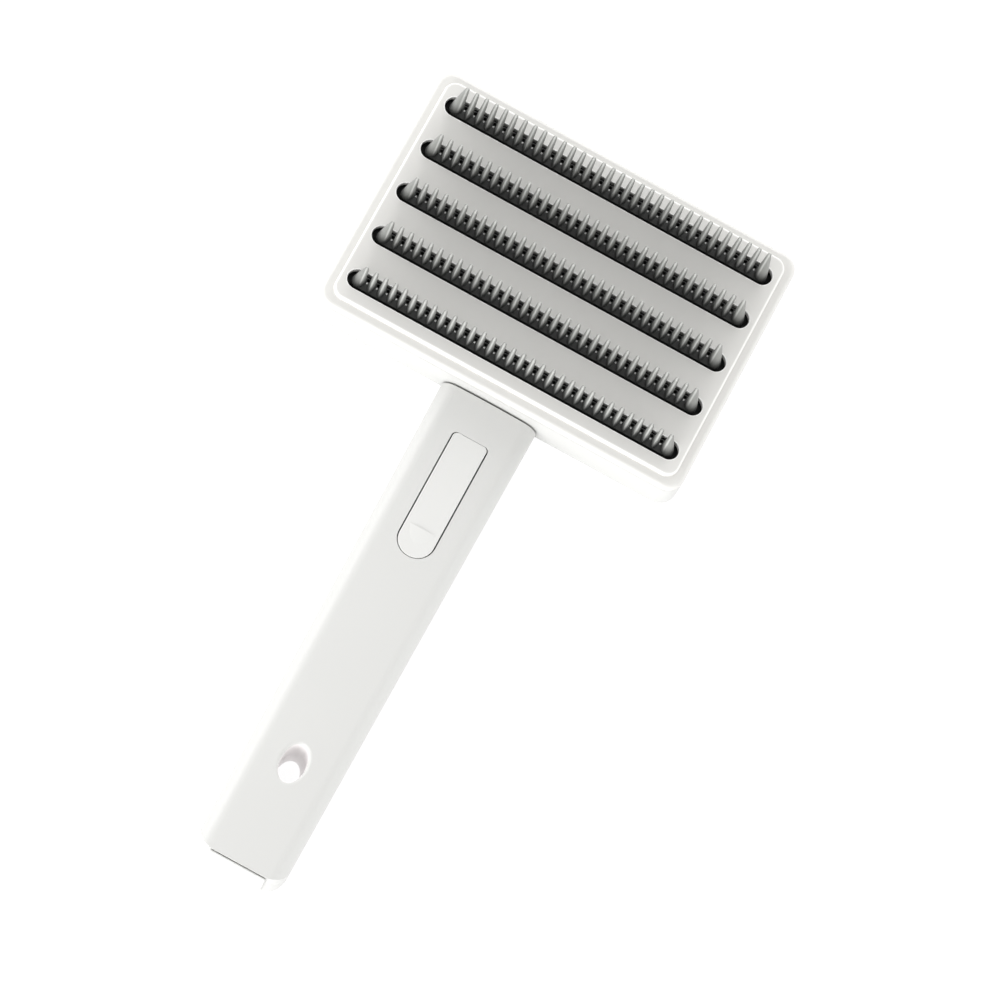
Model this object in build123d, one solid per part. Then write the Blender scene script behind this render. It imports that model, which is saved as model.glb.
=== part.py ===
"""Slicker brush for pets with a push plate that lifts shed fur off the comb rows.

The brush lies on its back.  X runs along the comb rows, Y runs from the handle
towards the head, Z points out of the teeth.  The origin is the centre of the
head's flat back face.  All dimensions are in millimetres.
"""
import os

from build123d import *

os.makedirs("parts", exist_ok=True)

# ---------------------------------------------------------------- head shell
HEAD_LENGTH = 105.0
HEAD_WIDTH = 73.0
HEAD_CORNER = 4.5
BACK_CHAMFER_H = 7.0
BACK_CHAMFER_IN = 4.0
BACK_SOFT = 4.2
RIM_Z = 18.25
TUB_WALL = 2.3
TUB_FLOOR = 2.2
TUB_KNEE_Z = 5.6

# --------------------------------------------------------------- push plate
PLATE_TOP = 22.0
PLATE_UNDER = 20.0
FLANGE_Z = 18.4
FLANGE_TOP = 20.4
FLANGE_SOFT = 1.2
PANEL_LENGTH = 99.7
PANEL_WIDTH = 67.7
PANEL_CORNER = 3.3
PANEL_SOFT = 0.8
SKIRT_GAP = 0.3
SKIRT_WALL = 1.6
SKIRT_BOTTOM = 5.7
PLATE_STROKE = 10.8
NOTCH_HALF = 7.0
NOTCH_TOP = 14.4

# --------------------------------------------------------------- comb strips
ROW_PITCH = 13.65
ROWS = 5
SLOT_LENGTH = 95.9
SLOT_WIDTH = 5.46
STRIP_LENGTH = 93.2
STRIP_WIDTH = 3.7
STRIP_TOP = 21.5
TEETH = 32
TOOTH_PITCH = 2.84
TOOTH_FOOT_X = 0.84
TOOTH_MID_X = 0.78
TOOTH_TIP_R = 0.55
END_TOOTH_X = 1.7
TIP_Z = (32.0, 33.5, 33.6, 33.8, 36.4)
DIMPLE_R = 0.5
DIMPLE_DEEP = 1.6
DIMPLE_Y = 1.2
TONGUE_WIDTH = 1.6
TONGUE_DEEP = 1.6

# ------------------------------------------------------------- comb carrier
CARRIER_Z = 15.0
CARRIER_TOP = 17.5
CARRIER_LENGTH = 95.8
CARRIER_WIDTH = 63.8
TURRET_TOP = 19.6
TURRET_R = 4.5
POCKET_R = 3.3
POCKET_TOP = 18.7
CHANNEL_Y = 1.5 * ROW_PITCH
INNER_Y = 0.5 * ROW_PITCH
TURRET_X = 30.0
BOSS_R = 3.4
BOSS_SPOTS = [(sx * 42.0, sy * INNER_Y) for sx in (-1, 1) for sy in (-1, 1)]
BOSS_SPOTS += [(sx * 14.0, sy * CHANNEL_Y) for sx in (-1, 1) for sy in (-1, 1)]
TURRET_SPOTS = [(sx * TURRET_X, sy * CHANNEL_Y) for sx in (-1, 1) for sy in (-1, 1)]
STRIP_SCREW_X = 24.0
LIFT_SPOT = (0.0, INNER_Y)

# ------------------------------------------------------ guide posts, springs
POST_R = 1.7
POST_GAP = 0.08
POST_BOTTOM = 2.75
WASHER_R = 3.0
WASHER_H = 0.8
SPRING_WIRE_R = 0.25
SPRING_R = 2.55
SPRING_TURNS = 6
LIFT_POST_R = 3.0
LIFT_POST_Z = 7.0
FOOT_R = 3.75
FOOT_Z = 4.75

# ------------------------------------------------------------------- handle
HANDLE_TOP_Y = -37.05
HANDLE_END_Y = -174.9
HANDLE_HALF_TOP = 13.7
HANDLE_HALF_END = 12.3
HANDLE_THICK = 14.5
HANDLE_CROWN = 0.6
HANDLE_SOFT = 4.2
HANDLE_CORNER = 5.5
HANDLE_WALL = 1.8
SPLIT_Z = 7.2
SPLIT_GAP = 0.04
LIP_TOP = 14.0
LIP_HALF = 7.8
LIP_THICK = 0.5
LIP_ROOT_Z = 2.0
LIP_SOFT = 0.2
LIP_GAP = 0.18
HOLE_FRONT = (-145.5, 3.35, 5.27)
HOLE_REAR = (-146.1, 3.0, 4.7)
HOLE_RIM = 0.8
HOLE_WALL = 1.5

# -------------------------------------------------------- button and lever
PIVOT_Y = -46.6
PIVOT_Z = 10.2
PIN_R = 1.2
PIN_HALF = 8.7
HUB_R = 2.3
HUB_HALF = 5.6
CHEEK_IN = 6.2
CHEEK_OUT = 8.8
BUTTON_TOP_Y = -47.95
BUTTON_END_Y = -83.45
BUTTON_HALF = 4.85
BUTTON_CORNER = 1.3
BUTTON_Z = 11.3
BUTTON_SOFT = 0.2
BUTTON_GAP = 0.34
BUTTON_GAP_END = 0.2
BUTTON_GAP_TOP = 0.04
THUMB_Y = -75.4
THUMB_RISE = 0.2
THUMB_TILT = 3.2
THUMB_CROWN_R = 29.0
BAR_END_Y = -76.0
BAR_HALF = 3.4
BAR_Z = 9.0
ARM_HALF = 5.0
ARM_NOSE_Y = 7.6
ARM_NOSE_Z = 3.6
ARM_NOSE_R = 1.0
BUTTON_SCREW_Y = (-56.0, -70.0)

# ------------------------------------------------------------------- screws
SCREW_R = 1.1
SCREW_HEAD_R = 1.9
SCREW_HEAD_H = 1.5
HANDLE_SEAT_Z = 2.6
CAP_R = 2.2
CAP_H = 0.8
NECK_SPOTS = [(-8.5, -39.8), (8.5, -39.8)]
SHELL_SPOTS = [(-6.5, -94.0), (6.5, -94.0), (0.0, -128.0), (0.0, -166.0)]
EAR_Z = (4.05, 8.6)


def slab(length, width, corner, z0, z1):
    """Rounded rectangle standing between two heights."""
    return Pos(0, 0, z0) * extrude(RectangleRounded(length, width, corner), z1 - z0)


def block(x0, x1, y0, y1, z0, z1):
    """Plain box given by its limits."""
    size = Box(x1 - x0, y1 - y0, z1 - z0)
    return Pos((x0 + x1) / 2, (y0 + y1) / 2, (z0 + z1) / 2) * size


def rod(x, y, radius, z0, z1):
    """Upright cylinder between two heights."""
    return Pos(x, y, (z0 + z1) / 2) * Cylinder(radius, z1 - z0)


def cross_rod(y, z, radius, half):
    """Cylinder lying along X."""
    return Pos(0, y, z) * Rot(0, 90, 0) * Cylinder(radius, 2 * half)


def side_profile(points, half):
    """Polygon drawn in the YZ plane and thickened both ways along X."""
    face = make_face(Polyline(*[(0, y, z) for y, z in points], close=True))
    return extrude(face, half, dir=(1, 0, 0), both=True)


def row_y(row):
    """Centre line of a comb row, row 0 nearest the handle."""
    return (row - (ROWS - 1) / 2) * ROW_PITCH


# ===================================================================== head
def tub_outer():
    """Outside of the head: straight rim above a back that slopes inwards."""
    upper = slab(HEAD_LENGTH, HEAD_WIDTH, HEAD_CORNER, BACK_CHAMFER_H, RIM_Z)
    inner_l = HEAD_LENGTH - 2 * BACK_CHAMFER_IN
    inner_w = HEAD_WIDTH - 2 * BACK_CHAMFER_IN
    low = RectangleRounded(inner_l, inner_w, HEAD_CORNER)
    high = Pos(0, 0, BACK_CHAMFER_H) * RectangleRounded(HEAD_LENGTH, HEAD_WIDTH, HEAD_CORNER)
    body = upper + loft([low, high], ruled=True)
    knee = body.edges().filter_by(lambda e: abs(e.center().Z - BACK_CHAMFER_H) < 0.01)
    body = fillet(knee, BACK_SOFT)
    back = body.edges().filter_by(lambda e: abs(e.center().Z) < 0.01)
    return fillet(back, BACK_SOFT)


def tub_cavity():
    """Room inside the head, narrower near the floor."""
    inner_l = HEAD_LENGTH - 2 * TUB_WALL
    inner_w = HEAD_WIDTH - 2 * TUB_WALL
    corner = HEAD_CORNER - TUB_WALL
    step = TUB_WALL * 2
    low = Pos(0, 0, TUB_FLOOR) * RectangleRounded(inner_l - step, inner_w - step, corner)
    high = Pos(0, 0, TUB_KNEE_Z) * RectangleRounded(inner_l, inner_w, corner)
    return loft([low, high], ruled=True) + slab(inner_l, inner_w, corner, TUB_KNEE_Z, RIM_Z + 1)


def neck_block():
    """Fairing that carries the handle section through to the head's wall."""
    depth = HEAD_WIDTH / 2
    return handle_body(-depth, -depth + 7.0, 0.0, 14.0)


def make_head_tub():
    """Head shell with floor bosses, lever window and ears for the handle."""
    tub = tub_outer() + neck_block() - tub_cavity()
    for x, y in BOSS_SPOTS:
        tub += rod(x, y, BOSS_R, TUB_FLOOR - 0.2, CARRIER_Z)
    edge = -HEAD_WIDTH / 2
    for side in (-1, 1):
        x0, x1 = sorted((side * 6.6, side * 10.4))
        tub += block(x0, x1, edge - 6.2, edge + 1.0, EAR_Z[0], EAR_Z[1])
    tub -= block(-6.2, 6.2, edge - 1.0, edge + 8.0, 4.6, 13.2)
    for x, y in BOSS_SPOTS:
        tub -= rod(x, y, SCREW_R, CARRIER_Z - 7.0, CARRIER_Z + 0.1)
    for x, y in NECK_SPOTS:
        tub -= rod(x, y, SCREW_R + 0.15, EAR_Z[0] - 1, EAR_Z[1] + 1)
    return tub


def make_comb_carrier():
    """Fixed plate under the push plate that holds the five comb strips."""
    plate = slab(CARRIER_LENGTH, CARRIER_WIDTH, 2.0, CARRIER_Z, CARRIER_TOP)
    for x, y in TURRET_SPOTS:
        plate += rod(x, y, TURRET_R, CARRIER_TOP - 0.5, TURRET_TOP)
    for x, y in TURRET_SPOTS:
        plate -= rod(x, y, POCKET_R, CARRIER_Z - 1, POCKET_TOP)
        plate -= rod(x, y, POST_R + POST_GAP, POCKET_TOP - 1, TURRET_TOP + 1)
    for x, y in BOSS_SPOTS:
        plate -= rod(x, y, SCREW_R + 0.15, CARRIER_Z - 1, CARRIER_TOP + 1)
    lift_x, lift_y = LIFT_SPOT
    plate -= block(lift_x - 7.0, lift_x + 7.0, lift_y - 4.3, lift_y + 4.3, 14, 18)
    for row in range(ROWS):
        y = row_y(row)
        half = STRIP_LENGTH / 2 - 2.0
        groove = TONGUE_WIDTH / 2
        plate -= block(-half, half, y - groove, y + groove, CARRIER_TOP - TONGUE_DEEP, 18)
        for x in (-STRIP_SCREW_X, STRIP_SCREW_X):
            plate -= rod(x, y, SCREW_R, CARRIER_Z - 1, CARRIER_TOP)
    return plate


def lens(half_x, half_y):
    """Pointed oval: two arcs that meet in a ridge on each side of the row."""
    right = ThreePointArc((0, -half_y), (half_x, 0), (0, half_y))
    left = ThreePointArc((0, half_y), (-half_x, 0), (0, -half_y))
    return make_face(right + left)


def tooth(x, y, tip_z, foot_half_x, foot_shift):
    """Tapered blade: thin along the row, ridged across it, with a round tip."""
    foot_z = STRIP_TOP - 0.4
    neck_z = tip_z - TOOTH_TIP_R
    mid_z = foot_z + 0.5 * (neck_z - foot_z)
    foot_y = STRIP_WIDTH / 2 - 0.02
    mid_x = TOOTH_MID_X + 0.5 * (foot_half_x - TOOTH_FOOT_X)
    sections = [
        Pos(x + foot_shift, y, foot_z) * lens(foot_half_x, foot_y),
        Pos(x + 0.5 * foot_shift, y, mid_z) * lens(mid_x, 0.66 * foot_y),
        Pos(x, y, neck_z) * lens(TOOTH_TIP_R, TOOTH_TIP_R),
    ]
    return loft(sections, ruled=False) + Pos(x, y, neck_z) * Sphere(TOOTH_TIP_R)


def make_comb_strip(row):
    """One comb strip: base bar, tongue, 32 teeth and the dimples between them."""
    y = row_y(row)
    base = Pos(0, y, CARRIER_TOP) * extrude(
        SlotOverall(STRIP_LENGTH, STRIP_WIDTH), STRIP_TOP - CARRIER_TOP)
    half = STRIP_LENGTH / 2 - 2.2
    tongue = TONGUE_WIDTH / 2 - 0.02
    base += block(-half, half, y - tongue, y + tongue, CARRIER_TOP - TONGUE_DEEP + 0.1,
                  CARRIER_TOP + 0.1)
    first = -(TEETH - 1) / 2 * TOOTH_PITCH
    blades = []
    for i in range(TEETH):
        side = -1 if i == 0 else 1 if i == TEETH - 1 else 0
        foot = END_TOOTH_X if side else TOOTH_FOOT_X
        shift = side * (STRIP_LENGTH / 2 - END_TOOTH_X + first - 0.04)
        blades.append(tooth(first + i * TOOTH_PITCH, y, TIP_Z[row], foot, shift))
    dimples = []
    for i in range(TEETH - 1):
        x = first + (i + 0.5) * TOOTH_PITCH
        cone = Cone(0.25, DIMPLE_R, DIMPLE_DEEP)
        dimples.append(Pos(x, y + DIMPLE_Y, STRIP_TOP - DIMPLE_DEEP / 2 + 0.01) * cone)
    pilots = [rod(x, y, SCREW_R, CARRIER_Z, CARRIER_TOP + 2.6)
              for x in (-STRIP_SCREW_X, STRIP_SCREW_X)]
    return base.fuse(*blades).cut(*dimples, *pilots)


# ============================================================== push plate
def make_push_plate():
    """Moving front of the head: slotted panel, flange, skirt and posts."""
    flange = slab(HEAD_LENGTH, HEAD_WIDTH, HEAD_CORNER, FLANGE_Z, FLANGE_TOP)
    flange = fillet(flange.edges().group_by(Axis.Z)[-1], FLANGE_SOFT)
    panel = slab(PANEL_LENGTH, PANEL_WIDTH, PANEL_CORNER, PLATE_UNDER - 0.5, PLATE_TOP)
    panel = fillet(panel.edges().group_by(Axis.Z)[-1], PANEL_SOFT)
    outer_l = HEAD_LENGTH - 2 * (TUB_WALL + SKIRT_GAP)
    outer_w = HEAD_WIDTH - 2 * (TUB_WALL + SKIRT_GAP)
    corner = HEAD_CORNER - TUB_WALL - SKIRT_GAP
    plate = flange + panel + slab(outer_l, outer_w, corner, SKIRT_BOTTOM, FLANGE_Z + 0.2)
    inner_l = outer_l - 2 * SKIRT_WALL
    inner_w = outer_w - 2 * SKIRT_WALL
    plate -= slab(inner_l, inner_w, 0.6, SKIRT_BOTTOM - 1, PLATE_UNDER)
    edge = -HEAD_WIDTH / 2
    plate -= block(-NOTCH_HALF, NOTCH_HALF, edge, edge + 6, SKIRT_BOTTOM - 1, NOTCH_TOP)
    for x, y in TURRET_SPOTS:
        plate += rod(x, y, POST_R, POST_BOTTOM, PLATE_UNDER + 0.3)
    plate += rod(*LIFT_SPOT, LIFT_POST_R, LIFT_POST_Z, PLATE_UNDER + 0.3)
    slots = [Pos(0, row_y(row), 19) * extrude(SlotOverall(SLOT_LENGTH, SLOT_WIDTH), 4)
             for row in range(ROWS)]
    plate = plate.cut(*slots)
    rims = [e for e in plate.edges().group_by(Axis.Z)[-1]
            if abs(e.center().X) < SLOT_LENGTH / 2 - 0.5 or e.geom_type == GeomType.CIRCLE]
    rims = [e for e in rims if abs(e.center().Y) < row_y(ROWS - 1) + SLOT_WIDTH / 2 + 0.1]
    return fillet(rims, 0.35)


def make_lift_foot():
    """Wear pad pressed on the lift post; the lever nose pushes against it."""
    foot = rod(*LIFT_SPOT, FOOT_R, FOOT_Z, LIFT_POST_Z + 2.5)
    foot -= rod(*LIFT_SPOT, LIFT_POST_R, LIFT_POST_Z, LIFT_POST_Z + 3)
    return fillet(foot.edges().group_by(Axis.Z)[0], 0.5)


def make_post_washers():
    """Retaining washers pushed on the lower ends of the four guide posts."""
    rings = []
    for x, y in TURRET_SPOTS:
        ring = rod(x, y, WASHER_R, POST_BOTTOM, POST_BOTTOM + WASHER_H)
        rings.append(ring - rod(x, y, POST_R, POST_BOTTOM - 1, POST_BOTTOM + 2))
    return Compound(rings)


def make_return_spring(x, y):
    """Compression spring between a post washer and its turret pocket."""
    z0 = POST_BOTTOM + WASHER_H + SPRING_WIRE_R + 0.02
    z1 = POCKET_TOP - SPRING_WIRE_R - 0.02
    coil = Helix((z1 - z0) / SPRING_TURNS, z1 - z0, SPRING_R)
    wire = Plane(coil @ 0, z_dir=coil % 0) * Circle(SPRING_WIRE_R)
    return Pos(x, y, z0) * sweep(wire, path=coil, is_frenet=True)


# ================================================================== handle
def handle_profile(y, inset, crown_z):
    """Cross-section of the handle at one station, shrunk by a wall."""
    share = (y - HANDLE_TOP_Y) / (HANDLE_END_Y - HANDLE_TOP_Y)
    half = HANDLE_HALF_TOP + share * (HANDLE_HALF_END - HANDLE_HALF_TOP) - inset
    side_z = crown_z - HANDLE_CROWN
    outline = Line((-half, inset), (half, inset)) + Line((half, inset), (half, side_z))
    outline += ThreePointArc((half, side_z), (0, crown_z), (-half, side_z))
    outline += Line((-half, side_z), (-half, inset))
    face = make_face(outline)
    face = fillet(face.vertices(), HANDLE_SOFT - inset)
    return Plane((0, y, 0), x_dir=(1, 0, 0), z_dir=(0, -1, 0)) * face


def handle_body(y_from, y_to, inset, crown_z):
    """Solid between two handle stations."""
    ends = [handle_profile(y_from, inset, crown_z), handle_profile(y_to, inset, crown_z)]
    return loft(ends, ruled=True)


def handle_outline(end_y, inset):
    """Plan shape of the handle with its rounded end, as a tall prism."""
    corner = HANDLE_CORNER - inset * 0.6
    half = HANDLE_HALF_END + 0.1 - inset
    wide = HANDLE_HALF_TOP + 0.5
    face = make_face(Polyline((-wide, -20), (wide, -20), (half, end_y + inset),
                              (-half, end_y + inset), close=True))
    low = face.vertices().group_by(Axis.Y)[0]
    return Pos(0, 0, -1) * extrude(fillet(low, corner), HANDLE_THICK + 3)


def handle_shape(end_y, inset, start_y):
    """Handle solid with its end rounded in plan."""
    body = handle_body(start_y, end_y - 1, inset, HANDLE_THICK - inset)
    return body & handle_outline(end_y, inset)


def button_outline(grow, grow_top, grow_end):
    """Plan of the button: square shoulders at the hinge, round at the thumb."""
    half = BUTTON_HALF + grow
    centre = BUTTON_END_Y + BUTTON_HALF + grow - grow_end
    upper = make_face(Polyline((-half, centre), (half, centre), (half, BUTTON_TOP_Y + grow_top),
                               (-half, BUTTON_TOP_Y + grow_top), close=True))
    upper = fillet(upper.vertices().group_by(Axis.Y)[-1], BUTTON_CORNER)
    return upper + Pos(0, centre) * Circle(half)


def hole_section(z, grow):
    """Oval of the hanging hole at one height; the hole narrows to the back."""
    share = z / HANDLE_THICK
    y, half_x, half_y = (rear + share * (front - rear)
                         for rear, front in zip(HOLE_REAR, HOLE_FRONT))
    return Pos(0, y, z) * Ellipse(half_x + grow, half_y + grow)


def hole_prism(grow, z0, z1):
    """Upright tapering oval at the hanging hole."""
    return loft([hole_section(z0, grow), hole_section(z1, grow)], ruled=True)


def hole_rim(shell, low_z, high_z):
    """Edges of the hanging hole that lie between two heights."""
    found = []
    for edge in shell.edges():
        box = edge.bounding_box()
        near = abs(box.center().Y - HOLE_FRONT[0]) < 1.5 and box.size.X < 2 * HOLE_FRONT[1] + 0.2
        if near and low_z < box.min.Z and box.max.Z < high_z + 0.1:
            found.append(edge)
    return found


def make_handle_front_shell():
    """Front half of the handle with button opening, hinge cheeks and bosses."""
    outer = handle_shape(HANDLE_END_Y, 0.0, HANDLE_TOP_Y)
    inner = handle_shape(HANDLE_END_Y, HANDLE_WALL, HANDLE_TOP_Y + 5)
    shell = outer - inner
    bottom = SPLIT_Z + SPLIT_GAP
    posts = hole_prism(HOLE_WALL, bottom, HANDLE_THICK - 1)
    for x, y in SHELL_SPOTS:
        posts += rod(x, y, 3.0, bottom, HANDLE_THICK - 1)
    for x, y in NECK_SPOTS:
        posts += rod(x, y, 2.2, EAR_Z[1] + 0.05, HANDLE_THICK - 1.2)
    for side in (-1, 1):
        x0, x1 = sorted((side * CHEEK_IN, side * CHEEK_OUT))
        posts += block(x0, x1, PIVOT_Y - 3, PIVOT_Y + 3, SPLIT_Z + 0.3, HANDLE_THICK - 1.2)
    shell = (shell + posts) - block(-20, 20, -200, -20, -2, bottom)
    shell -= hole_prism(0, 0, HANDLE_THICK + 1)
    shell -= cross_rod(PIVOT_Y, PIVOT_Z, PIN_R, 9.5)
    shell -= Pos(0, 0, 10) * extrude(button_outline(BUTTON_GAP, BUTTON_GAP_TOP, BUTTON_GAP_END), 8)
    for x, y in SHELL_SPOTS + NECK_SPOTS:
        shell -= rod(x, y, SCREW_R, 6, HANDLE_THICK - 2.2)
    return fillet(hole_rim(shell, 13.8, HANDLE_THICK), HOLE_RIM)


def end_lip(top):
    """Thin tongue that stands up behind the end of the front shell."""
    inner_y = HANDLE_END_Y - LIP_GAP
    tongue = block(-LIP_HALF, LIP_HALF, inner_y - LIP_THICK, inner_y, LIP_ROOT_Z, LIP_TOP)
    tongue = fillet(tongue.edges().group_by(Axis.Z)[-1], LIP_SOFT)
    return tongue + block(-LIP_HALF, LIP_HALF, inner_y - 0.1, HANDLE_END_Y + 0.5, LIP_ROOT_Z, top)


def make_handle_rear_shell():
    """Rear half of the handle with the end lip, screw posts and button stop."""
    outer = handle_shape(HANDLE_END_Y, 0.0, HANDLE_TOP_Y)
    inner = handle_shape(HANDLE_END_Y, HANDLE_WALL, HANDLE_TOP_Y + 5)
    shell = outer - inner
    top = SPLIT_Z - SPLIT_GAP
    posts = hole_prism(HOLE_WALL, 1, top)
    for x, y in SHELL_SPOTS:
        posts += rod(x, y, 3.4, 1, top)
    for x, y in NECK_SPOTS:
        posts += rod(x, y, 3.1, 1, EAR_Z[0] - 0.05)
    posts += rod(0, -80.0, 3.0, 1, 3.2)
    shell = (shell + posts) & block(-20, 20, -200, -20, -2, top)
    shell += end_lip(top)
    shell -= hole_prism(0, -1, HANDLE_THICK)
    for x, y in SHELL_SPOTS + NECK_SPOTS:
        shell -= rod(x, y, CAP_R + 0.05, -1, HANDLE_SEAT_Z)
        shell -= rod(x, y, SCREW_R + 0.15, 0, top + 1)
    return fillet(hole_rim(shell, -0.1, 0.0), HOLE_RIM)


# ======================================================== lever and button
def make_eject_lever():
    """Rocker: bar under the button, hub on the pin, arm under the lift post."""
    arm_points = [
        (PIVOT_Y, PIVOT_Z - 2.2), (-33.0, 5.4), (-14.0, 2.75), (ARM_NOSE_Y, ARM_NOSE_Z - 1.0),
        (ARM_NOSE_Y, ARM_NOSE_Z + 0.6), (-12.0, 4.4), (-31.0, 8.6), (PIVOT_Y, PIVOT_Z + 2.2),
    ]
    lever = side_profile(arm_points, ARM_HALF)
    lever += cross_rod(ARM_NOSE_Y, ARM_NOSE_Z, ARM_NOSE_R, ARM_HALF)
    lever += cross_rod(PIVOT_Y, PIVOT_Z, HUB_R, HUB_HALF)
    bar_points = [(PIVOT_Y, BAR_Z), (PIVOT_Y, BUTTON_Z), (BAR_END_Y, BUTTON_Z),
                  (BAR_END_Y, BAR_Z)]
    lever += side_profile(bar_points, BAR_HALF)
    lever -= cross_rod(PIVOT_Y, PIVOT_Z, PIN_R + 0.05, 10)
    for y in BUTTON_SCREW_Y:
        lever -= rod(0, y, SCREW_R + 0.1, 5, 13)
    return lever


def make_thumb_button():
    """Visible button, flush with the handle, with a low thumb ramp."""
    pad = Pos(0, 0, BUTTON_Z) * extrude(button_outline(0, 0, 0), HANDLE_THICK - BUTTON_Z)
    pad = fillet(pad.edges().group_by(Axis.Z)[-1], BUTTON_SOFT)
    crown = Pos(0, THUMB_Y, HANDLE_THICK + THUMB_RISE - THUMB_CROWN_R) * Rot(90 + THUMB_TILT, 0, 0)
    ramp = crown * Cylinder(THUMB_CROWN_R, 40)
    ramp &= Pos(0, 0, 13) * extrude(button_outline(-0.15, -0.15, -0.15), 4)
    ramp &= block(-6, 6, -90, THUMB_Y, 13, 17)
    pad += ramp
    pad -= cross_rod(PIVOT_Y, PIVOT_Z, HUB_R, 6)
    for y in BUTTON_SCREW_Y:
        pad -= rod(0, y, SCREW_R, BUTTON_Z - 1, HANDLE_THICK - 1.0)
    return pad


def make_pivot_washers():
    """Thin spacers between the lever hub and the hinge cheeks."""
    rings = []
    for side in (-1, 1):
        x = side * (HUB_HALF + CHEEK_IN) / 2
        ring = Cylinder(HUB_R, CHEEK_IN - HUB_HALF - 0.1) - Cylinder(PIN_R, 4)
        rings.append(Pos(x, PIVOT_Y, PIVOT_Z) * Rot(0, 90, 0) * ring)
    return Compound(rings)


# ================================================================= screws
def screw(x, y, seat_z, length, up):
    """Pan-head screw with a cross recess; 'up' points the shank along +Z."""
    head = Pos(0, 0, -SCREW_HEAD_H / 2) * Cylinder(SCREW_HEAD_R, SCREW_HEAD_H)
    head = fillet(head.edges().group_by(Axis.Z)[0], 0.45)
    recess = Pos(0, 0, -SCREW_HEAD_H) * (Box(2.2, 0.5, 1.2) + Box(0.5, 2.2, 1.2))
    body = head + Pos(0, 0, length / 2) * Cylinder(SCREW_R, length) - recess
    turn = 0 if up else 180
    return Pos(x, y, seat_z) * Rot(turn, 0, 0) * body


def make_screw_sets():
    """Every set of equal screws, keyed by node name."""
    carrier = [screw(x, y, CARRIER_TOP, 8.0, False) for x, y in BOSS_SPOTS]
    strip = [screw(side * STRIP_SCREW_X, row_y(row), CARRIER_Z, 4.6, True)
             for row in range(ROWS) for side in (-1, 1)]
    handle = [screw(x, y, HANDLE_SEAT_Z, 9.2, True) for x, y in SHELL_SPOTS + NECK_SPOTS]
    button = [screw(0, y, BAR_Z, 4.2, True) for y in BUTTON_SCREW_Y]
    return {"carrier_screws": Compound(carrier), "strip_screws": Compound(strip),
            "handle_screws": Compound(handle), "button_screws": Compound(button)}


def make_screw_caps():
    """Push-in discs that close the screw wells in the back of the handle."""
    return Compound([rod(x, y, CAP_R, 0.02, CAP_H) for x, y in SHELL_SPOTS + NECK_SPOTS])


def build_all():
    """Name and shape of every node."""
    nodes = {
        "head_tub": make_head_tub(),
        "comb_carrier": make_comb_carrier(),
        "push_plate": make_push_plate(),
        "lift_foot": make_lift_foot(),
        "post_washers": make_post_washers(),
        "handle_front_shell": make_handle_front_shell(),
        "handle_rear_shell": make_handle_rear_shell(),
        "eject_lever": make_eject_lever(),
        "thumb_button": make_thumb_button(),
        "pivot_washers": make_pivot_washers(),
        "pivot_pin": cross_rod(PIVOT_Y, PIVOT_Z, PIN_R, PIN_HALF),
        "button_stop": rod(0, -80.0, 2.8, 3.2, 3.9),
        "screw_caps": make_screw_caps(),
    }
    nodes.update(make_screw_sets())
    for row in range(ROWS):
        nodes[f"comb_strip_{row + 1}"] = make_comb_strip(row)
    for i, (x, y) in enumerate(TURRET_SPOTS):
        nodes[f"return_spring_{i + 1}"] = make_return_spring(x, y)
    return nodes


for name, shape in build_all().items():
    export_step(shape, f"parts/{name}.step")
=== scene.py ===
"""Looks for the slicker brush: finishes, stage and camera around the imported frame."""
import math

import bmesh
import bpy
from bpy.props import FloatProperty, FloatVectorProperty, IntProperty, PointerProperty
from mathutils import Matrix, Vector


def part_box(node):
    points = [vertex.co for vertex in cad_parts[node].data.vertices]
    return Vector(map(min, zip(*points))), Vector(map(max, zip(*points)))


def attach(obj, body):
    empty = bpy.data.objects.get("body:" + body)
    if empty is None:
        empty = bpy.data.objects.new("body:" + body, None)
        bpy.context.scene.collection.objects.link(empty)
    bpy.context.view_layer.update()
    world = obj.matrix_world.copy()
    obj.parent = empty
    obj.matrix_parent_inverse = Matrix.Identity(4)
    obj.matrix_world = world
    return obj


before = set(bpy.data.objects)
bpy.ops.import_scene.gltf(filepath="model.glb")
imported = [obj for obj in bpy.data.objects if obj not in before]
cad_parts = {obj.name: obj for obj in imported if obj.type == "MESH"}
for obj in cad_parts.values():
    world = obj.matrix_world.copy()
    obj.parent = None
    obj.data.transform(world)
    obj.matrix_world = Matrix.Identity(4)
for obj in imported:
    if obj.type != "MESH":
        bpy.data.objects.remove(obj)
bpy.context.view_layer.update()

bl_info = {
    "name": "Slicker Brush",
    "version": (1, 0, 0),
    "blender": (4, 5, 0),
    "location": "View3D > Sidebar > Brush",
    "description": "Finishes, stage and camera for a pet slicker brush with a push plate",
    "category": "Object",
}

MM = 0.001
ROWS = 5

# Noise scales are features per metre, so a size in mm divides this number.
PER_METRE = 1000.0
# A noise value stays nearly always between these two.
NOISE_LOW, NOISE_HIGH = 0.2, 0.8
# Width of the cloudy patches that flow and mould temperature leave in a moulding.
FLOW_MM = 24.0
GLOSS_PATCH_MM = 14.0
# The painted light on the hanging hole's wall fades out over its rounded rim, in parts of its size.
HOLE_FADE = 1.05
# Dull patches of zinc, and the depth of a drawing line.
METAL_CLOUD_MM = 3.0
DRAWN_LINE_DEPTH_MM = 0.02
# Share of the metal's brightness that is left in its dull patches.
METAL_DULL = 0.86
# Bead centre below the plate's face and outside the slot's edge, in bead radii.
BEAD_SINK = 0.9
BEAD_OUTSET = 0.6
# Height of a pip in pip radii.
PIP_RISE = 0.8
# The floor lies this far below the brush, so that the two faces never coincide.
FLOOR_DROP = 0.2 * MM
FLOOR_SIDES = 96
# Part of the floor's brightness that it scatters, as grey, and the part that it glows with.
FLOOR_GREY = 0.14
FLOOR_GLOW = 0.92
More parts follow.
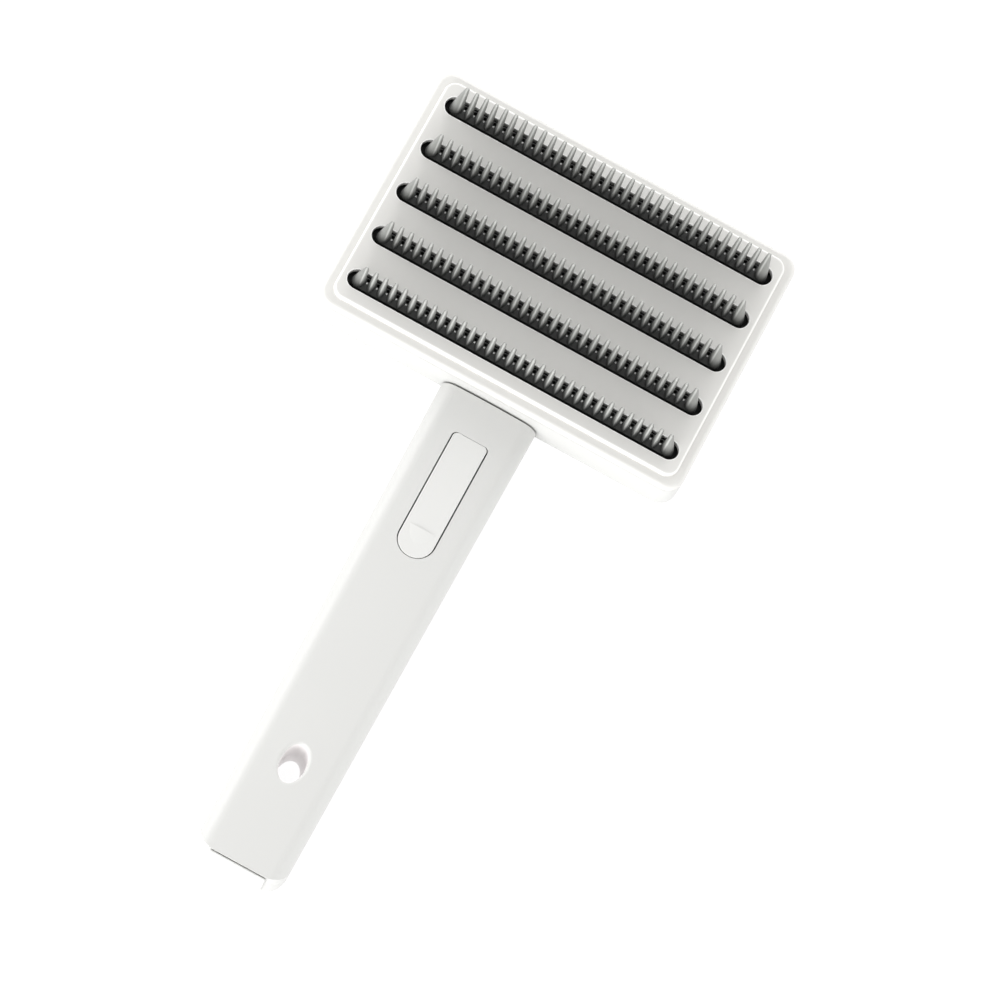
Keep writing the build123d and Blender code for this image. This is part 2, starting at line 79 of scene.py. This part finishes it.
# Heights of the view direction between which the surround fades, 1 being straight up.
FADE_LOW, FADE_HIGH = 0.3, 0.9
# Index numbers of a colour Mix node's sockets: factor, first and second colour, result.
FACTOR, FIRST, SECOND, RESULT = 0, 6, 7, 2


# ------------------------------------------------------------------ colour
def linear(hex_colour):
    """Turn an sRGB hex colour such as '#EDECE8' into linear RGBA."""
    value = hex_colour.lstrip("#")
    channels = [int(value[i:i + 2], 16) / 255 for i in (0, 2, 4)]
    lin = [c / 12.92 if c <= 0.04045 else ((c + 0.055) / 1.055) ** 2.4 for c in channels]
    return (*lin, 1.0)


def colour_property(name, description, hex_colour):
    """A colour a user may change, with its default given in sRGB hex."""
    return FloatVectorProperty(name=name, description=description, subtype="COLOR", size=3,
                               min=0.0, max=1.0, default=linear(hex_colour)[:3])


# ------------------------------------------------------------- node helper
def add_node(tree, kind, inputs=None, **settings):
    """Add a node, fill its settings, and set or link each named input."""
    node = tree.nodes.new(kind)
    for name, value in settings.items():
        setattr(node, name, value)
    for name, value in (inputs or {}).items():
        if isinstance(value, bpy.types.NodeSocket):
            tree.links.new(value, node.inputs[name])
        else:
            node.inputs[name].default_value = value
    return node


def new_material(name):
    """Empty node material with its output; returns the material and the node tree."""
    material = bpy.data.materials.new(name)
    material.use_nodes = True
    material.node_tree.nodes.clear()
    return material, material.node_tree


def blend_by_height(tree, place, shade, colour, z_from, z_to):
    """Turn shade into colour as the height falls from z_to down to z_from."""
    height = add_node(tree, "ShaderNodeSeparateXYZ", {"Vector": place}).outputs["Z"]
    rise = add_node(tree, "ShaderNodeMapRange",
                    {"Value": height, "From Min": z_from, "From Max": z_to},
                    interpolation_type="SMOOTHSTEP")
    return add_node(tree, "ShaderNodeMix",
                    {FACTOR: rise.outputs["Result"], FIRST: (*colour[:3], 1.0), SECOND: shade},
                    data_type="RGBA").outputs[RESULT]


def paint_hole_light(tree, place, shade, colour, centre, half_x, half_y):
    """Turn shade into a lighter colour inside an upright oval, fading out just past its edge:
    painted light.
    """
    oval = add_node(tree, "ShaderNodeMapping",
                    {"Vector": place, "Location": (-centre.x / half_x, -centre.y / half_y, 0.0),
                     "Scale": (1.0 / half_x, 1.0 / half_y, 0.0)})
    reach = add_node(tree, "ShaderNodeVectorMath", {0: oval.outputs["Vector"]},
                     operation="LENGTH")
    outside = add_node(tree, "ShaderNodeMapRange",
                       {"Value": reach.outputs["Value"], "From Min": 1.0,
                        "From Max": HOLE_FADE}, interpolation_type="SMOOTHSTEP")
    return add_node(tree, "ShaderNodeMix",
                    {FACTOR: outside.outputs["Result"], FIRST: (*colour[:3], 1.0),
                     SECOND: shade}, data_type="RGBA").outputs[RESULT]


def paint_ridge_highlights(tree, place, shade, colour, pitch, half_width):
    """Turn shade into colour in a thin line up the middle of every tooth: a painted highlight."""
    along = add_node(tree, "ShaderNodeSeparateXYZ", {"Vector": place}).outputs["X"]
    # Teeth stand half a pitch away from the middle of the row.
    inward = add_node(tree, "ShaderNodeMath", {0: along, 1: pitch / 2}, operation="PINGPONG")
    ridge = add_node(tree, "ShaderNodeMapRange",
                     {"Value": inward.outputs["Value"], "From Min": pitch / 2 - half_width,
                      "From Max": pitch / 2}, interpolation_type="SMOOTHSTEP")
    return add_node(tree, "ShaderNodeMix",
                    {FACTOR: ridge.outputs["Result"], FIRST: shade,
                     SECOND: (*colour[:3], 1.0)}, data_type="RGBA").outputs[RESULT]


def moulded_plastic(name, colour, roughness, ior, grain_mm, grain_depth_mm, mottle=0.01,
                    uneven=0.03, hole=None, ridges=None, bands=()):
    """Injection-moulded plastic: tool grain as bump, faint clouding, uneven gloss.

    hole is (colour, centre, half_x, half_y), ridges is (colour, pitch, half_width) and each
    band is (colour, z_from, z_to): below z_to the shade turns into that colour.
    """
    material, tree = new_material(name)
    place = add_node(tree, "ShaderNodeTexCoord").outputs["Object"]
    grain = add_node(tree, "ShaderNodeTexNoise",
                     {"Vector": place, "Scale": PER_METRE / grain_mm, "Detail": 3.0})
    flow = add_node(tree, "ShaderNodeTexNoise",
                    {"Vector": place, "Scale": PER_METRE / FLOW_MM, "Detail": 1.5})
    gloss = add_node(tree, "ShaderNodeTexNoise",
                     {"Vector": place, "Scale": PER_METRE / GLOSS_PATCH_MM, "Detail": 1.5})
    cloud = add_node(tree, "ShaderNodeMapRange",
                     {"Value": flow.outputs["Fac"], "From Min": NOISE_LOW,
                      "From Max": NOISE_HIGH}, interpolation_type="SMOOTHSTEP")
    tint = tuple(c * (1.0 - mottle) for c in colour[:3])
    shade = add_node(tree, "ShaderNodeMix",
                     {FACTOR: cloud.outputs["Result"], FIRST: (*colour[:3], 1.0),
                      SECOND: (*tint, 1.0)}, data_type="RGBA").outputs[RESULT]
    if hole:
        shade = paint_hole_light(tree, place, shade, *hole)
    if ridges:
        shade = paint_ridge_highlights(tree, place, shade, *ridges)
    for band_colour, z_from, z_to in bands:
        shade = blend_by_height(tree, place, shade, band_colour, z_from, z_to)
    bump = add_node(tree, "ShaderNodeBump",
                    {"Height": grain.outputs["Fac"], "Strength": 1.0,
                     "Distance": grain_depth_mm * MM})
    rough = add_node(tree, "ShaderNodeMapRange",
                     {"Value": gloss.outputs["Fac"], "From Min": NOISE_LOW,
                      "From Max": NOISE_HIGH, "To Min": roughness - uneven,
                      "To Max": roughness + uneven})
    shader = add_node(tree, "ShaderNodeBsdfPrincipled",
                      {"Base Color": shade, "IOR": ior, "Roughness": rough.outputs["Result"],
                       "Normal": bump.outputs["Normal"]})
    add_node(tree, "ShaderNodeOutputMaterial", {"Surface": shader.outputs["BSDF"]})
    return material


def drawn_metal(name, colour, roughness, line_mm, stretch):
    """Metal with fine drawing lines; stretch squeezes the pattern along each axis."""
    material, tree = new_material(name)
    place = add_node(tree, "ShaderNodeTexCoord").outputs["Object"]
    squeezed = add_node(tree, "ShaderNodeMapping", {"Vector": place, "Scale": stretch})
    lines = add_node(tree, "ShaderNodeTexNoise",
                     {"Vector": squeezed.outputs["Vector"], "Scale": PER_METRE / line_mm,
                      "Detail": 4.0})
    cloud = add_node(tree, "ShaderNodeTexNoise",
                     {"Vector": place, "Scale": PER_METRE / METAL_CLOUD_MM, "Detail": 2.0})
    bump = add_node(tree, "ShaderNodeBump",
                    {"Height": lines.outputs["Fac"], "Strength": 0.6,
                     "Distance": DRAWN_LINE_DEPTH_MM * MM})
    dull = tuple(c * METAL_DULL for c in colour[:3])
    shade = add_node(tree, "ShaderNodeMix",
                     {FACTOR: cloud.outputs["Fac"], FIRST: (*colour[:3], 1.0),
                      SECOND: (*dull, 1.0)}, data_type="RGBA").outputs[RESULT]
    rough = add_node(tree, "ShaderNodeMapRange",
                     {"Value": lines.outputs["Fac"], "From Min": NOISE_LOW,
                      "From Max": NOISE_HIGH, "To Min": roughness - 0.08,
                      "To Max": roughness + 0.1})
    shader = add_node(tree, "ShaderNodeBsdfPrincipled",
                      {"Base Color": shade, "Metallic": 1.0,
                       "Roughness": rough.outputs["Result"], "Normal": bump.outputs["Normal"]})
    add_node(tree, "ShaderNodeOutputMaterial", {"Surface": shader.outputs["BSDF"]})
    return material


# ---------------------------------------------------------------- pieces
def dress(node_name, material):
    """Give a carried-over part its finish."""
    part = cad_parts[node_name]
    part.data.materials.clear()
    part.data.materials.append(material)


def row_centres():
    """Middle of each comb row in Y."""
    centres = []
    for row in range(ROWS):
        low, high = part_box(f"comb_strip_{row + 1}")
        centres.append((low.y + high.y) / 2)
    return centres


def dome(shape, centre, radius, height, rings=4, sides=12):
    """Add a small round-topped pip to a mesh under construction."""
    levels = []
    for ring in range(rings):
        angle = 0.5 * math.pi * ring / rings
        level = []
        for side in range(sides):
            turn = 2 * math.pi * side / sides
            offset = (radius * math.cos(angle) * math.cos(turn),
                      radius * math.cos(angle) * math.sin(turn), height * math.sin(angle))
            level.append(shape.verts.new(centre + Vector(offset)))
        levels.append(level)
    top = shape.verts.new(centre + Vector((0, 0, height)))
    for lower, upper in zip(levels, levels[1:]):
        for i in range(sides):
            j = (i + 1) % sides
            shape.faces.new((lower[i], lower[j], upper[j], upper[i]))
    for i in range(sides):
        shape.faces.new((levels[-1][i], levels[-1][(i + 1) % sides], top))
    shape.faces.new(reversed(levels[0]))


def bead(shape, centre, half_length, half_width, radius, bends=16, sides=8):
    """Add a round bead that runs along the mouth of a round-ended slot."""
    straight = half_length - half_width
    rings = []
    for end in (1, -1):
        for step in range(bends + 1):
            turn = math.pi * (step / bends - 0.5) + (0.0 if end > 0 else math.pi)
            outward = Vector((math.cos(turn), math.sin(turn), 0.0))
            spine = centre + Vector((end * straight, 0, 0)) + outward * half_width
            ring = []
            for side in range(sides):
                angle = 2 * math.pi * side / sides
                offset = outward * math.cos(angle) + Vector((0, 0, math.sin(angle)))
                ring.append(shape.verts.new(spine + radius * offset))
            rings.append(ring)
    for here, there in zip(rings, rings[1:] + rings[:1]):
        for i in range(sides):
            j = (i + 1) % sides
            shape.faces.new((here[i], there[i], there[j], here[j]))


def make_piece(name, shape, material, body):
    """Turn a finished bmesh into a smooth-shaded piece that rides on a body."""
    mesh = bpy.data.meshes.new(name)
    shape.to_mesh(mesh)
    shape.free()
    for face in mesh.polygons:
        face.use_smooth = True
    mesh.materials.append(material)
    piece = bpy.data.objects.new(name, mesh)
    bpy.context.scene.collection.objects.link(piece)
    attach(piece, body)


# ---------------------------------------------------------- property groups
class BrushShellSettings(bpy.types.PropertyGroup):
    """Colours of the white mouldings."""

    shell: colour_property("Shell", "Satin white of the head shell and handle", "#D2D2D0")
    panel: colour_property("Panel", "Silky white of the push plate", "#DDDCD9")
    # Painted highlight: the plate's rounded edges are tinted lighter than its face.
    rim_highlight: colour_property("Rim", "Rounded edges of the push plate", "#ECECEA")
    # Painted highlight: the slot beads are tinted whiter than the plate they belong to.
    bead: colour_property("Bead", "Bright bead round each slot", "#F2F2F0")
    button: colour_property("Button", "White of the thumb button", "#DBDBD9")
    # Painted light: the hanging hole's wall is tinted whiter than the shell.
    hole_wall_light: colour_property("Hole Wall", "Whiter wall of the hanging hole", "#F4F1F1")
    hole_centre: FloatVectorProperty(name="Hole Centre", description="Middle of the hole",
                                     size=3, default=(0.0, -145.65 * MM, 0.0),
                                     subtype="TRANSLATION")
    hole_half_x: FloatProperty(name="Hole Half Width", description="Half the hole's width",
                               default=3.3 * MM, unit="LENGTH")
    hole_half_y: FloatProperty(name="Hole Half Length", description="Half the hole's length",
                               default=5.3 * MM, unit="LENGTH")
    slot_length: FloatProperty(name="Slot Length", description="Slot from end to end",
                               default=95.9 * MM, unit="LENGTH")
    slot_width: FloatProperty(name="Slot Width", description="Slot from side to side",
                              default=5.46 * MM, unit="LENGTH")
    bead_radius: FloatProperty(name="Bead Radius", description="Half the bead's thickness",
                               default=0.2 * MM, unit="LENGTH")


class BrushCombSettings(bpy.types.PropertyGroup):
    """Colours of the comb strips and of the parts below them."""

    tooth: colour_property("Tooth", "Grey of the comb teeth", "#8C8D8A")
    # Painted highlight: the pale line stands for the light that a tooth's ridge catches.
    ridge: colour_property("Ridge", "Paler line up the middle of a tooth", "#BCBDBA")
    # Painted shade: the teeth darken deep in the slots, where little light reaches.
    foot: colour_property("Foot", "Darker grey deep in the slots", "#2E2F2E")
    # Painted glint: the pips are tinted far lighter than the nylon of the teeth.
    pip: colour_property("Pip", "Light grey of the pips between the teeth", "#D0D1CF")
    foot_shade_height: FloatProperty(name="Foot Height", description="Where the dark foot ends",
                               default=5.6 * MM, unit="LENGTH")
    foot_shade_fade: FloatProperty(name="Foot Fade", description="Height over which it turns grey",
                             default=6.0 * MM, unit="LENGTH")
    ridge_half: FloatProperty(name="Ridge Half Width", description="Half the pale line's width",
                              default=0.42 * MM, unit="LENGTH")
    teeth: IntProperty(name="Teeth", description="Teeth in each row", default=32, min=2)
    pitch: FloatProperty(name="Tooth Pitch", description="Tooth to tooth along a row",
                         default=2.84 * MM, unit="LENGTH")
    base_height: FloatProperty(name="Base Height", description="Top of the strip between teeth",
                               default=21.48 * MM, unit="LENGTH")
    pip_radius: FloatProperty(name="Pip Radius", description="Radius of one pip",
                              default=0.27 * MM, unit="LENGTH")
    pip_offset: FloatProperty(name="Pip Offset", description="Pip from the row's centre line",
                              default=0.38 * MM, unit="LENGTH")
    carrier: colour_property("Carrier", "Charcoal of the comb carrier", "#2E302F")


class BrushStageSettings(bpy.types.PropertyGroup):
    """Floor, light and camera."""

    floor_radius: FloatProperty(name="Floor Radius", description="Radius of the pale floor",
                                default=3.0, min=0.5, unit="LENGTH")
    horizon: FloatProperty(name="Horizon", description="Brightness of the surround at eye level",
                           default=1.75, min=0.0)
    zenith: FloatProperty(name="Zenith", description="Brightness of the surround overhead",
                          default=0.55, min=0.0)
    lens: FloatProperty(name="Lens", description="Focal length of the camera", default=199.1,
                        min=20.0, unit="CAMERA")
    distance: FloatProperty(name="Distance", description="Camera to the point it looks at",
                            default=1.41005, min=0.3, unit="LENGTH")
    azimuth: FloatProperty(name="Azimuth", description="Camera direction round the brush",
                           default=math.radians(-0.397), subtype="ANGLE")
    elevation: FloatProperty(name="Elevation", description="Camera height above the horizon",
                             default=math.radians(70.616), subtype="ANGLE")
    roll: FloatProperty(name="Roll", description="Turn of the camera about its line of sight",
                        default=math.radians(29.08), subtype="ANGLE")
    aim: FloatVectorProperty(name="Aim", description="Point the camera looks at", size=3,
                             default=(0.01366, -0.05732, 0.011), subtype="TRANSLATION")


# ----------------------------------------------------------------- operators
class BRUSH_OT_stage(bpy.types.Operator):
    """Lay the pale floor, hang the soft light and set the camera"""

    bl_idname = "brush.stage"
    bl_label = "Stage"

    def execute(self, context):
        settings = context.scene.brush_stage
        self.lay_floor(settings)
        self.light_surround(context.scene, settings)
        self.hang_lights()
        self.set_camera(context.scene, settings)
        return {"FINISHED"}

    def lay_floor(self, settings):
        """Round pale floor under the brush."""
        mesh = bpy.data.meshes.new("floor")
        shape = bmesh.new()
        bmesh.ops.create_circle(shape, cap_ends=True, segments=FLOOR_SIDES,
                              radius=settings.floor_radius)
        shape.to_mesh(mesh)
        shape.free()
        floor = bpy.data.objects.new("floor", mesh)
        floor.location.z = -FLOOR_DROP
        bpy.context.scene.collection.objects.link(floor)
        # White light table: glows evenly, so the floor stays pale in the brush's shade.
        material, tree = new_material("White light table")
        diffuse = add_node(tree, "ShaderNodeBsdfDiffuse",
                           {"Color": (FLOOR_GREY, FLOOR_GREY, FLOOR_GREY, 1.0)})
        glow = add_node(tree, "ShaderNodeEmission", {"Color": (1, 1, 1, 1), "Strength": FLOOR_GLOW})
        both = add_node(tree, "ShaderNodeAddShader",
                        {0: diffuse.outputs["BSDF"], 1: glow.outputs["Emission"]})
        add_node(tree, "ShaderNodeOutputMaterial", {"Surface": both.outputs["Shader"]})
        mesh.materials.append(material)

    def light_surround(self, scene, settings):
        """White surround, brighter round the horizon than overhead."""
        world = bpy.data.worlds.new("white_surround")
        world.use_nodes = True
        tree = world.node_tree
        tree.nodes.clear()
        direction = add_node(tree, "ShaderNodeTexCoord").outputs["Generated"]
        height = add_node(tree, "ShaderNodeSeparateXYZ", {"Vector": direction}).outputs["Z"]
        strength = add_node(tree, "ShaderNodeMapRange",
                            {"Value": height, "From Min": FADE_LOW, "From Max": FADE_HIGH,
                             "To Min": settings.horizon, "To Max": settings.zenith},
                            interpolation_type="SMOOTHSTEP")
        back = add_node(tree, "ShaderNodeBackground",
                        {"Color": (1.0, 1.0, 0.995, 1.0),
                         "Strength": strength.outputs["Result"]})
        add_node(tree, "ShaderNodeOutputWorld", {"Surface": back.outputs["Background"]})
        scene.world = world

    def hang_lights(self):
        """Large soft boxes on the handle side and to the left."""
        for name, place, size, power in (
            ("soft_box_front", (-0.4, -1.4, 0.35), 0.9, 11.0),
            ("soft_box_left", (-1.5, 0.3, 0.7), 0.9, 5.0),
            ("soft_box_far", (0.0, 1.2, 0.7), 0.9, 4.5),
        ):
            data = bpy.data.lights.new(name, "AREA")
            data.shape = "SQUARE"
            data.size = size
            data.energy = power
            lamp = bpy.data.objects.new(name, data)
            lamp.location = place
            lamp.rotation_euler = (-Vector(place)).to_track_quat("-Z", "Y").to_euler()
            bpy.context.scene.collection.objects.link(lamp)

    def set_camera(self, scene, settings):
        """Long lens well above the brush, from the handle side."""
        a, e = settings.azimuth, settings.elevation
        back = Vector((math.sin(a) * math.cos(e), -math.cos(a) * math.cos(e), math.sin(e)))
        data = bpy.data.cameras.new("camera")
        data.sensor_width = 36.0
        data.lens = settings.lens
        data.clip_start = 0.05
        data.clip_end = 20.0
        camera = bpy.data.objects.new("camera", data)
        level = (-back).to_track_quat("-Z", "Y").to_matrix()
        turned = level @ Matrix.Rotation(settings.roll, 3, "Z")
        place = Vector(settings.aim) + back * settings.distance
        camera.matrix_world = Matrix.Translation(place) @ turned.to_4x4()
        scene.collection.objects.link(camera)
        scene.camera = camera
        scene.view_settings.view_transform = "Standard"


class BRUSH_OT_shells(bpy.types.Operator):
    """Finish the head shell, the handle halves and the caps"""

    bl_idname = "brush.shells"
    bl_label = "Shells"

    def execute(self, context):
        colours = context.scene.brush_shell
        # ABS from a spark-eroded mould: white with a soft sheen and a fine even grain.  The
        # real grain is about 0.1 mm; it is drawn at 0.55 mm so that it shows.  The hanging
        # hole's wall is coloured whiter, which stands for the light that thin walls let
        # through and this opaque material does not.
        shell = moulded_plastic("Satin ABS, spark eroded", colours.shell, 0.42, 1.54,
                                grain_mm=0.55, grain_depth_mm=0.012,
                                hole=(colours.hole_wall_light, Vector(colours.hole_centre),
                                      colours.hole_half_x, colours.hole_half_y))
        for name in ("head_tub", "handle_front_shell", "handle_rear_shell"):
            dress(name, shell)
        # Polyethylene, moulded: a waxier, slightly warmer white than the shell.  Its 0.2 mm
        # waviness is drawn at 0.8 mm so that it shows.
        caps = moulded_plastic("Polyethylene, moulded", linear("#E2E1DD"), 0.5, 1.51,
                               grain_mm=0.8, grain_depth_mm=0.02)
        dress("screw_caps", caps)
        return {"FINISHED"}


class BRUSH_OT_push_plate(bpy.types.Operator):
    """Finish the push plate with its foot and washers"""

    bl_idname = "brush.push_plate"
    bl_label = "Push Plate"

    def execute(self, context):
        colours = context.scene.brush_shell
        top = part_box("push_plate")[1].z
        # ABS from a finely stoned mould: smoother and silkier than the shell, with rounded
        # edges tinted a little lighter, a painted highlight where they catch the light.  The
        # 0.05 mm stoning marks are drawn at 0.5 mm so that they show.
        panel = moulded_plastic("Silk polished ABS", colours.panel, 0.36, 1.54,
                                grain_mm=0.5, grain_depth_mm=0.006,
                                bands=((colours.rim_highlight, top - 0.12 * MM, top - 0.02 * MM),
                                       (colours.panel, top - 0.95 * MM, top - 0.6 * MM)))
        dress("push_plate", panel)
        # Acetal, moulded without dye: milky, slightly yellow and slippery looking.
        acetal = moulded_plastic("Natural acetal, moulded", linear("#DEDCD2"), 0.3, 1.48,
                                 grain_mm=0.6, grain_depth_mm=0.006)
        for name in ("lift_foot", "post_washers", "pivot_washers"):
            dress(name, acetal)
        return {"FINISHED"}


class BRUSH_OT_slot_beads(bpy.types.Operator):
    """Run a fine bead along the mouth of every slot in the push plate"""

    bl_idname = "brush.slot_beads"
    bl_label = "Slot Beads"

    def execute(self, context):
        settings = context.scene.brush_shell
        # The same ABS, smoother, tinted whiter than the plate: the bead catches real light and its
        # tint adds a painted highlight, a thin white line round each slot.
        bright = moulded_plastic("Polished ABS, painted highlight", settings.bead, 0.22, 1.54,
                                 grain_mm=0.5, grain_depth_mm=0.003)
        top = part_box("push_plate")[1].z
        shape = bmesh.new()
        for y in row_centres():
            centre = Vector((0.0, y, top - BEAD_SINK * settings.bead_radius))
            outset = BEAD_OUTSET * settings.bead_radius
            bead(shape, centre, settings.slot_length / 2 + outset,
                 settings.slot_width / 2 + outset, settings.bead_radius)
        make_piece("slot_beads", shape, bright, "plate")
        return {"FINISHED"}


class BRUSH_OT_combs(bpy.types.Operator):
    """Finish the comb strips and the carrier that holds them"""

    bl_idname = "brush.combs"
    bl_label = "Combs"

    def execute(self, context):
        colours = context.scene.brush_comb
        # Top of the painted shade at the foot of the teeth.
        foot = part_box("comb_strip_1")[0].z + colours.foot_shade_height
        # Nylon filled with short glass: mid grey with a dry satin sheen and a slightly rough
        # skin.  The 0.1 mm roughness is drawn at 0.45 mm so that it shows.  Two painted tints
        # help the shape: a paler line, a painted highlight where a tooth's ridge catches the
        # light, and a darker foot, painted shade deep in the slot where little light reaches.
        nylon = moulded_plastic("Glass filled nylon, moulded", colours.tooth, 0.42, 1.53,
                                grain_mm=0.45, grain_depth_mm=0.012, mottle=0.08,
                                ridges=(colours.ridge, colours.pitch, colours.ridge_half),
                                bands=((colours.foot, foot, foot + colours.foot_shade_fade),))
        for row in range(ROWS):
            dress(f"comb_strip_{row + 1}", nylon)
        # Nylon dyed through: nearly black and matt, so the slots look deep.
        carrier = moulded_plastic("Charcoal nylon, moulded", colours.carrier, 0.5, 1.53,
                                  grain_mm=0.7, grain_depth_mm=0.02, mottle=0.06)
        dress("comb_carrier", carrier)
        return {"FINISHED"}


class BRUSH_OT_pips(bpy.types.Operator):
    """Set a small pip between each pair of teeth, beside the dimple"""

    bl_idname = "brush.pips"
    bl_label = "Pips"

    def execute(self, context):
        settings = context.scene.brush_comb
        # Nylon from a polished pit in the mould, tinted far lighter than the teeth: a painted
        # glint, a small bright point of light.
        pip = moulded_plastic("Nylon, polished, painted glint", settings.pip, 0.25, 1.53,
                              grain_mm=0.3, grain_depth_mm=0.004)
        shape = bmesh.new()
        first = -(settings.teeth - 1) / 2 * settings.pitch
        for y in row_centres():
            for gap in range(settings.teeth - 1):
                x = first + (gap + 0.5) * settings.pitch
                foot = Vector((x, y + settings.pip_offset, settings.base_height))
                dome(shape, foot, settings.pip_radius, PIP_RISE * settings.pip_radius)
        make_piece("comb_pips", shape, pip, "brush")
        return {"FINISHED"}


class BRUSH_OT_button(bpy.types.Operator):
    """Finish the thumb button, the lever and the rubber stop"""

    bl_idname = "brush.button"
    bl_label = "Button and Lever"

    def execute(self, context):
        colours = context.scene.brush_shell
        # ABS from a polished mould: the whitest and smoothest part, with a soft reflection.
        button = moulded_plastic("Gloss ABS, polished mould", colours.button, 0.3, 1.54,
                                 grain_mm=0.5, grain_depth_mm=0.004, mottle=0.004,
                                 uneven=0.015)
        dress("thumb_button", button)
        # Acetal dyed grey: dense, smooth and faintly waxy.
        lever = moulded_plastic("Grey acetal, moulded", linear("#8B8D8C"), 0.38, 1.48,
                                grain_mm=0.6, grain_depth_mm=0.01)
        dress("eject_lever", lever)
        # Nitrile rubber, moulded: black, dull and slightly blue in the light.
        rubber = moulded_plastic("Nitrile rubber, moulded", linear("#26272A"), 0.75, 1.52,
                                 grain_mm=0.5, grain_depth_mm=0.03)
        dress("button_stop", rubber)
        return {"FINISHED"}


class BRUSH_OT_hardware(bpy.types.Operator):
    """Finish the springs, the hinge pin and the screws"""

    bl_idname = "brush.hardware"
    bl_label = "Hardware"

    def execute(self, context):
        # Spring wire drawn through a die: fine lines along the wire and a silky grey shine.
        # The 0.03 mm lines are drawn at 0.3 mm so that they show.
        spring = drawn_metal("Drawn spring steel", linear("#B4B6B8"), 0.28, 0.3, (1, 1, 0.2))
        for i in range(4):
            dress(f"return_spring_{i + 1}", spring)
        # Zinc plating on steel: pale, slightly blue and cloudy.
        zinc = drawn_metal("Zinc plated steel", linear("#C6C8CC"), 0.34, 0.35, (1, 1, 1))
        for name in ("carrier_screws", "strip_screws", "handle_screws", "button_screws",
                     "pivot_pin"):
            dress(name, zinc)
        return {"FINISHED"}


class BRUSH_PT_sidebar(bpy.types.Panel):
    """Steps that finish the brush, in order"""

    bl_idname = "BRUSH_PT_sidebar"
    bl_label = "Slicker Brush"
    bl_space_type = "VIEW_3D"
    bl_region_type = "UI"
    bl_category = "Brush"

    def draw(self, context):
        for step in STEPS:
            self.layout.operator(step.bl_idname)


STEPS = (BRUSH_OT_stage, BRUSH_OT_shells, BRUSH_OT_push_plate, BRUSH_OT_slot_beads,
         BRUSH_OT_combs, BRUSH_OT_pips, BRUSH_OT_button, BRUSH_OT_hardware)
GROUPS = {"brush_shell": BrushShellSettings, "brush_comb": BrushCombSettings,
          "brush_stage": BrushStageSettings}


def register():
    """Make the settings, the steps and the panel known to Blender."""
    for name, group in GROUPS.items():
        bpy.utils.register_class(group)
        setattr(bpy.types.Scene, name, PointerProperty(type=group))
    for step in STEPS:
        bpy.utils.register_class(step)
    bpy.utils.register_class(BRUSH_PT_sidebar)


def unregister():
    """Take the panel, the steps and the settings away again."""
    bpy.utils.unregister_class(BRUSH_PT_sidebar)
    for step in reversed(STEPS):
        bpy.utils.unregister_class(step)
    for name, group in GROUPS.items():
        delattr(bpy.types.Scene, name)
        bpy.utils.unregister_class(group)


def main():
    register()
    bpy.ops.brush.stage()
    bpy.ops.brush.shells()
    bpy.ops.brush.push_plate()
    bpy.ops.brush.slot_beads()
    bpy.ops.brush.combs()
    bpy.ops.brush.pips()
    bpy.ops.brush.button()
    bpy.ops.brush.hardware()


if __name__ == "__main__":
    main()
